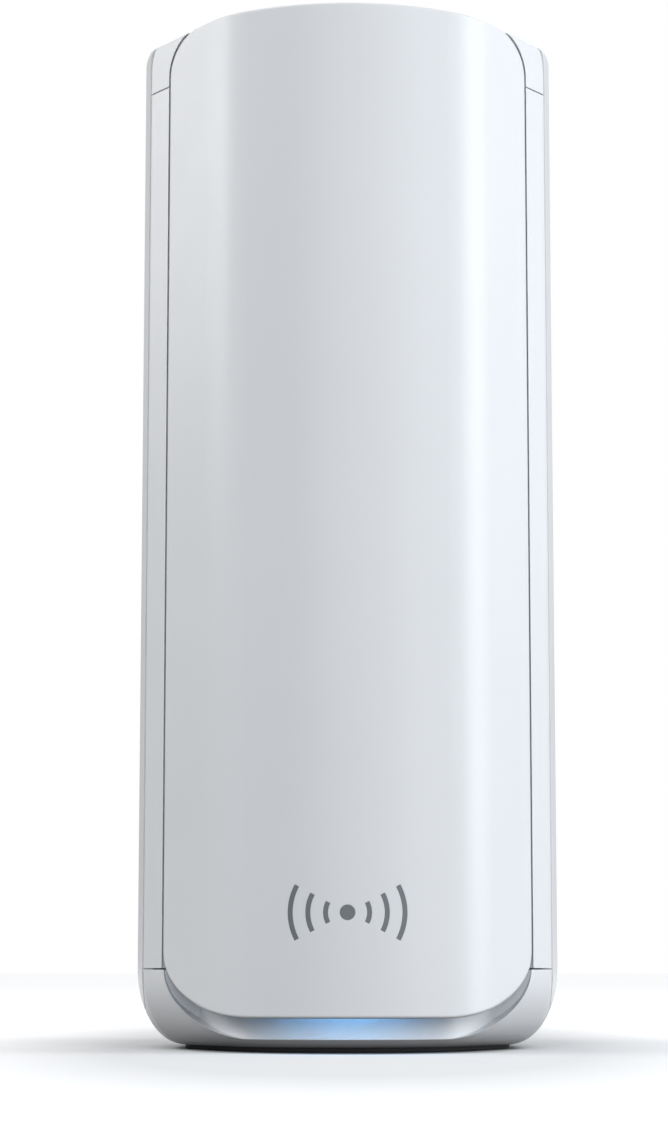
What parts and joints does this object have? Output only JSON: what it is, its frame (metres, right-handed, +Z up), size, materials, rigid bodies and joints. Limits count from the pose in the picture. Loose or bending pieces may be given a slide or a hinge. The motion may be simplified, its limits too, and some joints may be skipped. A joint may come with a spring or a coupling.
{
  "type": "mesh wifi node",
  "caption": "Upright white tower for home wifi: curved front panel over a lit cove, slim side strips, wrap-round back with network sockets, push buttons and a cooling fan inside.",
  "frame": {"origin": "middle of the plane that the foot ring rests on", "axes": "+Z up along the tower, front panel towards -Y, sockets towards +Y, +X to the right seen from the front"},
  "size_m": [0.127, 0.135, 0.306],
  "materials": {
    "shell": "smooth satin, moulded",
    "grille": "fine texture",
    "mark": "printed, satin",
    "foot": "matte",
    "light_guide": "translucent, diffusing",
    "label": "smooth film",
    "jack_plastic": "moulded",
    "jack_shield": "plated, satin",
    "contact": "gold flash",
    "button": "moulded",
    "board": "solder mask",
    "frame": "moulded",
    "can": "tin plate",
    "pad": "soft",
    "heatsink": "extruded",
    "fan": "moulded",
    "steel": "zinc plate",
    "emitter": "clear cap",
    "lead": "extruded jacket"
  },
  "bodies": {
    "housing": {"antenna_1": "contact", "antenna_2": "contact", "antenna_3": "contact", "antenna_4": "contact", "antenna_5": "contact", "antenna_6": "contact", "antenna_7": "contact", "antenna_8": "contact", "antenna_leads": "lead", "back_panel": "shell", "base_screws": "steel", "base_shell": "shell", "board_screws": "steel", "bottom_cover": "grille", "button_board": "board", "dc_jack_housing": "jack_plastic", "dc_jack_pin": "contact", "fan_bush": "contact", "fan_frame": "fan", "fan_lead": "lead", "fan_screws": "steel", "foot_ring": "foot", "front_mark": "mark", "front_panel": "shell", "heatsink_back": "heatsink", "heatsink_front": "heatsink", "inner_frame": "frame", "internet_jack_contacts": "contact", "internet_jack_housing": "jack_plastic", "internet_jack_shield": "jack_shield", "lan_1_jack_contacts": "contact", "lan_1_jack_housing": "jack_plastic", "lan_1_jack_shield": "jack_shield", "lan_2_jack_contacts": "contact", "lan_2_jack_housing": "jack_plastic", "lan_2_jack_shield": "jack_shield", "lan_3_jack_contacts": "contact", "lan_3_jack_housing": "jack_plastic", "lan_3_jack_shield": "jack_shield", "led_board": "board", "led_emitters": "emitter", "light_guide": "light_guide", "main_board": "board", "port_bezel": "grille", "port_board": "board", "power_switch": "jack_plastic", "rating_label": "label", "reset_switch": "jack_plastic", "rf_shields": "can", "side_cover_left": "shell", "side_cover_right": "shell", "sync_switch": "jack_plastic", "thermal_pads": "pad", "top_cap": "shell", "top_grille": "grille"},
    "power_button": {"power_button": "button"},
    "sync_button": {"sync_button": "button"},
    "reset_plunger": {"reset_plunger": "button"},
    "fan": {"fan_rotor": "fan", "fan_shaft": "steel"}
  },
  "joints": [
    {"name": "power_push", "type": "slide", "parent": "housing", "child": "power_button", "axis": [0, -1, 0], "range_m": [0, 0.0016], "stiffness_N_per_m": 300, "springref_m": -0.003},
    {"name": "sync_push", "type": "slide", "parent": "housing", "child": "sync_button", "axis": [0, -1, 0], "range_m": [0, 0.0006], "stiffness_N_per_m": 400, "springref_m": -0.002},
    {"name": "reset_push", "type": "slide", "parent": "housing", "child": "reset_plunger", "axis": [0, -1, 0], "range_m": [0, 0.0005], "stiffness_N_per_m": 300, "springref_m": -0.001},
    {"name": "fan_spin", "type": "hinge", "parent": "housing", "child": "fan", "pos_m": [0, 0, 0.056], "axis": [0, 0, 1], "continuous": true}
  ]
}
